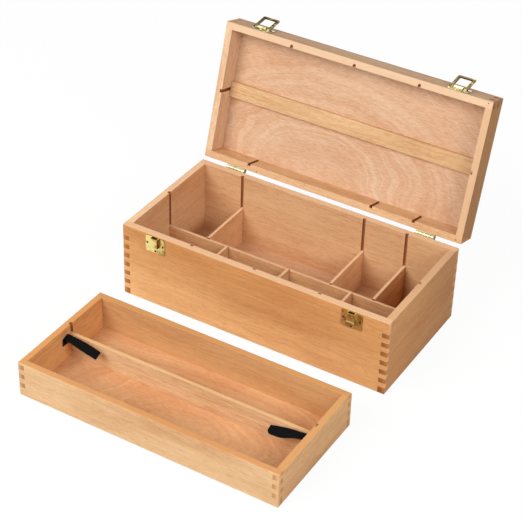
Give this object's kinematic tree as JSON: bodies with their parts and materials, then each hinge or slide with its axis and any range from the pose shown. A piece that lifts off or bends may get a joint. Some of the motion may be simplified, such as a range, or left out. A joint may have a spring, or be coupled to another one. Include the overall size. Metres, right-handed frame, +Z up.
{
  "type": "wooden toolbox",
  "caption": "Finger-jointed beech toolbox with a hinged lid, brass loop latches, loose dividers and a lift-out tray that stands in front of it.",
  "frame": {"origin": "middle of the case's underside, on the surface that it stands on", "axes": "+X along the case to its right, +Y from its front to its hinges, +Z up"},
  "size_m": [0.4, 0.5363, 0.3079],
  "materials": {
    "beech_case": "clear satin lacquer",
    "beech_lid": "clear satin lacquer",
    "beech_tray": "clear satin lacquer",
    "beech_dividers": "sanded, clear lacquer",
    "beech_plywood": "rotary-cut veneer, clear lacquer",
    "brass": "polished",
    "strap_leather": "smooth black",
    "tack_steel": "blackened"
  },
  "bodies": {
    "case": {"case_front_wall": "beech_case", "case_back_wall": "beech_case", "case_left_wall": "beech_case", "case_right_wall": "beech_case", "case_base_panel": "beech_plywood", "latch_keeper_left": "brass", "latch_keeper_right": "brass", "keeper_nails": "brass", "hinge_lower_leaf_left": "brass", "hinge_lower_leaf_right": "brass", "hinge_pin_left": "brass", "hinge_pin_right": "brass", "hinge_nails_case": "brass"},
    "lid": {"lid_front_wall": "beech_lid", "lid_back_wall": "beech_lid", "lid_left_wall": "beech_lid", "lid_right_wall": "beech_lid", "lid_top_panel": "beech_plywood", "lid_batten": "beech_lid", "hinge_upper_leaf_left": "brass", "hinge_upper_leaf_right": "brass", "hinge_nails_lid": "brass", "latch_base_left": "brass", "latch_base_right": "brass", "latch_nails": "brass"},
    "tray": {"tray_front_wall": "beech_tray", "tray_back_wall": "beech_tray", "tray_left_wall": "beech_tray", "tray_right_wall": "beech_tray", "tray_base_panel": "beech_plywood", "pull_strap_left": "strap_leather", "pull_strap_right": "strap_leather", "strap_tacks": "tack_steel"},
    "latch_loop_left": {"latch_loop_left": "brass"},
    "latch_loop_right": {"latch_loop_right": "brass"},
    "long_divider": {"long_divider": "beech_dividers"},
    "front_divider_1": {"front_divider_1": "beech_dividers"},
    "front_divider_2": {"front_divider_2": "beech_dividers"},
    "front_divider_3": {"front_divider_3": "beech_dividers"},
    "rear_divider_1": {"rear_divider_1": "beech_dividers"},
    "rear_divider_2": {"rear_divider_2": "beech_dividers"},
    "rear_divider_3": {"rear_divider_3": "beech_dividers"},
    "tray_divider": {"tray_divider": "beech_tray"}
  },
  "joints": [
    {"name": "lid_hinge", "type": "hinge", "parent": "case", "child": "lid", "pos_m": [0, 0.1012, 0.112], "axis": [-1, 0, 0], "range_deg": [-106.3, 0]},
    {"name": "loop_swing_left", "type": "hinge", "parent": "lid", "child": "latch_loop_left", "pos_m": [-0.1475, 0.16281, 0.30486], "axis": [-1, 0, 0], "range_deg": [-159, 0]},
    {"name": "loop_swing_right", "type": "hinge", "parent": "lid", "child": "latch_loop_right", "pos_m": [0.1475, 0.16281, 0.30486], "axis": [-1, 0, 0], "range_deg": [-159, 0]},
    {"name": "tray_lift", "type": "slide", "parent": "case", "child": "tray", "axis": [0, 0, 1], "range_m": [0, 0.15]},
    {"name": "tray_divider_lift", "type": "slide", "parent": "tray", "child": "tray_divider", "axis": [0, 0, 1], "range_m": [0, 0.0485]},
    {"name": "long_divider_lift", "type": "slide", "parent": "case", "child": "long_divider", "axis": [0, 0, 1], "range_m": [0, 0.108]},
    {"name": "front_divider_1_lift", "type": "slide", "parent": "case", "child": "front_divider_1", "axis": [0, 0, 1], "range_m": [0, 0.108]},
    {"name": "front_divider_2_lift", "type": "slide", "parent": "case", "child": "front_divider_2", "axis": [0, 0, 1], "range_m": [0, 0.108]},
    {"name": "front_divider_3_lift", "type": "slide", "parent": "case", "child": "front_divider_3", "axis": [0, 0, 1], "range_m": [0, 0.108]},
    {"name": "rear_divider_1_lift", "type": "slide", "parent": "case", "child": "rear_divider_1", "axis": [0, 0, 1], "range_m": [0, 0.108]},
    {"name": "rear_divider_2_lift", "type": "slide", "parent": "case", "child": "rear_divider_2", "axis": [0, 0, 1], "range_m": [0, 0.108]},
    {"name": "rear_divider_3_lift", "type": "slide", "parent": "case", "child": "rear_divider_3", "axis": [0, 0, 1], "range_m": [0, 0.108]}
  ]
}
